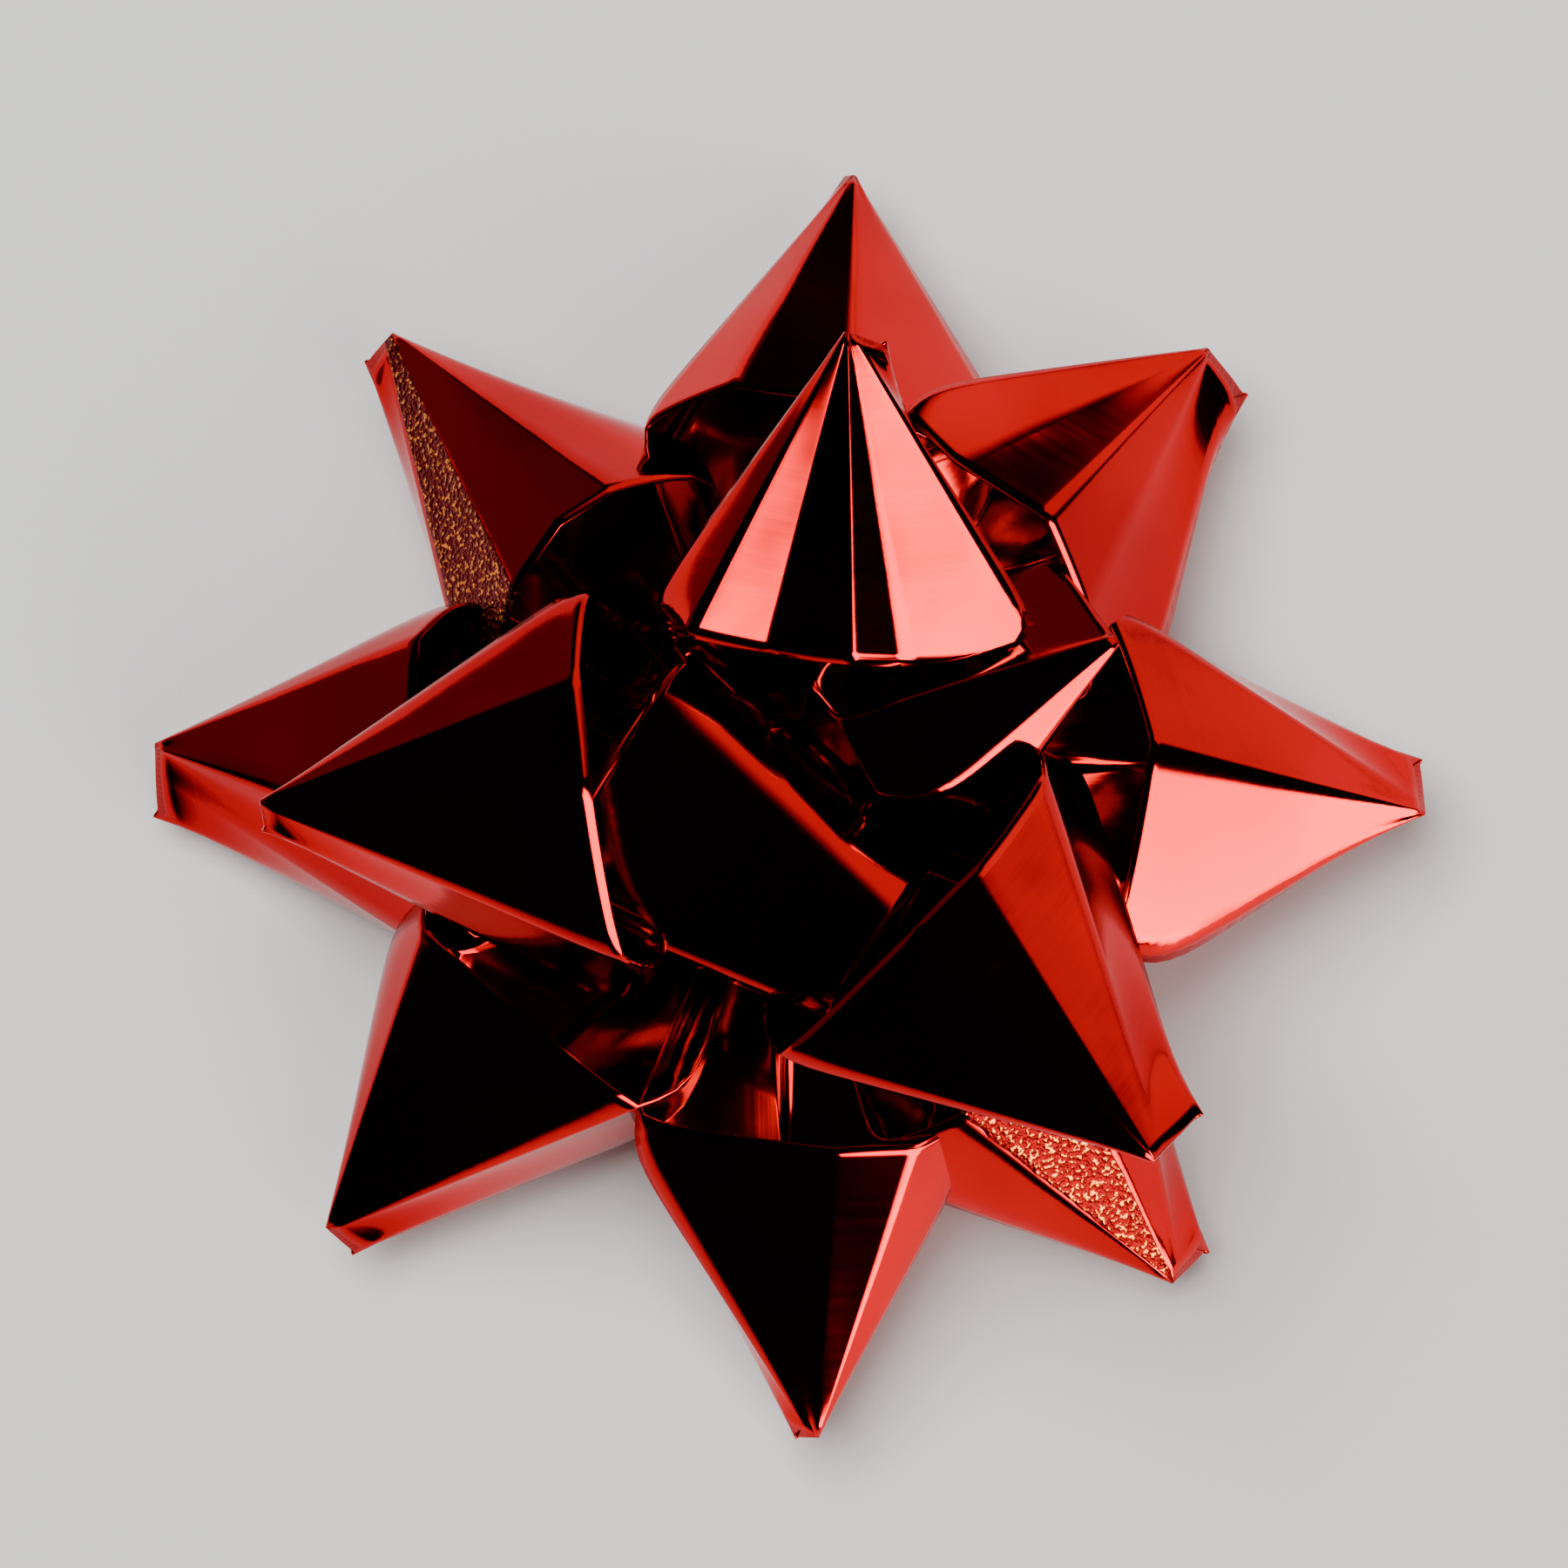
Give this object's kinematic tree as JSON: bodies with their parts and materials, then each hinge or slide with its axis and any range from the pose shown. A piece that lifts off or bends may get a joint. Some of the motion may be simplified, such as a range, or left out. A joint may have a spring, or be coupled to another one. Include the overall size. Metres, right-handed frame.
{
  "type": "pre-made gift bow",
  "caption": "Self-adhesive star gift bow of metallic ribbon: tiers of pointed loops round a centre loop, pinned to a card disc with a foam pad and release liner.",
  "frame": {"origin": "middle of the resting face, on the pin's axis under the release liner", "axes": "+Z along the pin's axis, out of the bow's face and away from the gift; +X towards the liner's finger tab"},
  "size_m": [0.0497, 0.0499, 0.0177],
  "materials": {
    "ribbon": "red metallised polypropylene ribbon with a mirror-like face",
    "card": "uncoated red card",
    "pin": "natural moulded plastic",
    "foam": "closed-cell foam tape with adhesive on both faces",
    "liner": "waxed release paper"
  },
  "bodies": {
    "liner": {"release_liner": "liner"},
    "base": {"adhesive_pad": "foam", "card_disc": "card", "centre_pin": "pin", "pin_cap": "pin"},
    "bottom_tier": {"bottom_loop_1": "ribbon", "bottom_loop_2": "ribbon", "bottom_loop_3": "ribbon", "bottom_loop_4": "ribbon", "bottom_loop_5": "ribbon", "bottom_loop_6": "ribbon", "bottom_loop_7": "ribbon", "bottom_loop_8": "ribbon"},
    "top_tier": {"top_loop_1": "ribbon", "top_loop_2": "ribbon", "top_loop_3": "ribbon", "top_loop_4": "ribbon"},
    "centre": {"ribbon_tail": "ribbon", "centre_loop": "ribbon"}
  },
  "joints": [
    {"name": "liner_release", "type": "slide", "parent": "liner", "child": "base", "axis": [0, 0, 1], "range_m": [0, 0.03]},
    {"name": "bottom_tier_turn", "type": "hinge", "parent": "base", "child": "bottom_tier", "pos_m": [0, 0, 0.002], "axis": [0, 0, 1], "range_deg": [-5, 5]},
    {"name": "top_tier_turn", "type": "hinge", "parent": "base", "child": "top_tier", "pos_m": [0, 0, 0.0035], "axis": [0, 0, 1], "range_deg": [-5, 5]},
    {"name": "centre_loop_turn", "type": "hinge", "parent": "base", "child": "centre", "pos_m": [0, 0, 0.0045], "axis": [0, 0, 1], "range_deg": [-5, 5]}
  ]
}
